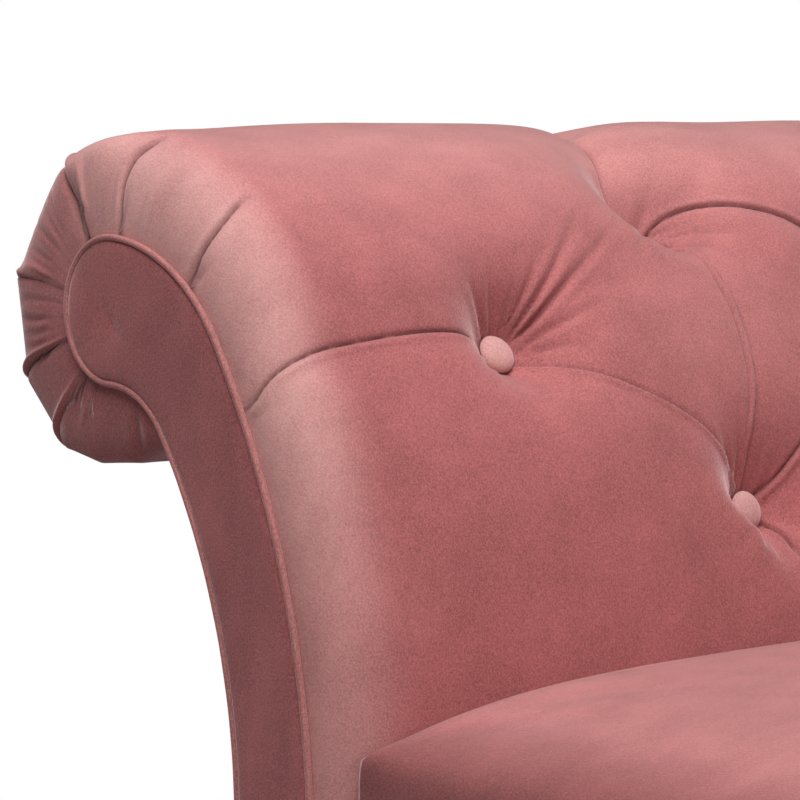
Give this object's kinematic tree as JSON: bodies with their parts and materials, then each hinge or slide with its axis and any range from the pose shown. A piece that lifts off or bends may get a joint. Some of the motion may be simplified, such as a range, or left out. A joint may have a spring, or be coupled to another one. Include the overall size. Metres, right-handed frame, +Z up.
{
  "type": "fainting couch",
  "caption": "Velvet fainting couch with one raised, scrolled and button-tufted head end, piped scroll facings, a crowned tight seat and turned legs.",
  "frame": {"origin": "on the floor, under the centre of the couch's bounding box", "axes": "+X along the couch from the head to the foot end, +Y to the rear, +Z up"},
  "size_m": [1.6999, 0.82, 0.8458],
  "materials": {
    "velvet": "matte",
    "button_velvet": "matte",
    "walnut": "satin",
    "pine": "matte",
    "plywood": "matte",
    "foam": "matte",
    "felt": "matte",
    "webbing": "matte",
    "dust_cloth": "matte",
    "twine": "matte",
    "zinc_steel": "satin",
    "nylon": "matte"
  },
  "bodies": {
    "root": {"seat_front_rail": "pine", "seat_rear_rail": "pine", "seat_foot_rail": "pine", "head_base_rail": "pine", "deck_slat": "pine", "cross_braces": "pine", "corner_blocks": "pine", "head_front_board": "plywood", "head_rear_board": "plywood", "head_front_rib": "plywood", "head_rear_rib": "plywood", "head_slats": "pine", "tufting_board": "plywood", "outside_backer": "plywood", "frame_bolts": "zinc_steel", "frame_nuts": "zinc_steel", "cross_webbing": "webbing", "long_webbing": "webbing", "deck_felt": "felt", "seat_foam": "foam", "seat_cover": "velvet", "head_foam": "foam", "head_cover": "velvet", "tufting_buttons": "button_velvet", "button_twine": "twine", "twine_toggles": "nylon", "front_facing_board": "plywood", "rear_facing_board": "plywood", "front_facing_cover": "velvet", "rear_facing_cover": "velvet", "front_welt": "velvet", "rear_welt": "velvet", "outside_cover": "velvet", "dust_cover": "dust_cloth", "front_head_leg": "walnut", "rear_head_leg": "walnut", "front_foot_leg": "walnut", "rear_foot_leg": "walnut", "leg_bolts": "zinc_steel", "threaded_inserts": "zinc_steel", "glides": "nylon"}
  },
  "joints": []
}
